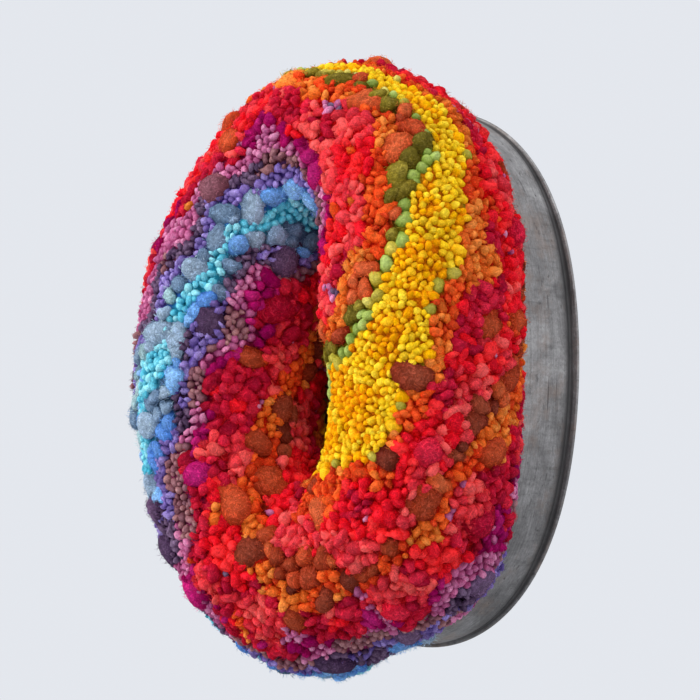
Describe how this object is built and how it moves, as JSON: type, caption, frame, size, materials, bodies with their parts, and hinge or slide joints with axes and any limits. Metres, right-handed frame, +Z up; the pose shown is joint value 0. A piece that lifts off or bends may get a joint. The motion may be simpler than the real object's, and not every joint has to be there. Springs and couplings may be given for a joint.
{
  "type": "punch needle wall piece on an oval metal pan",
  "caption": "Stuffed oval ring covered in looped and felted wool pile, fixed on the base of an upturned oval metal pan that stands against a wall.",
  "frame": {"origin": "centre of the pan's mouth, in the plane of the wall that the rim stands against", "axes": "+Z up along the long side of the oval, -Y the way the front faces, +Y into the wall, +X to the right seen from the front"},
  "size_m": [0.1814, 0.1298, 0.2623],
  "materials": {
    "wool_pile": "matte looped and felted wool pile in many colours",
    "grey_metal": "weathered dull grey sheet metal"
  },
  "bodies": {
    "root": {"pile_ring": "wool_pile", "oval_pan": "grey_metal"}
  },
  "joints": []
}
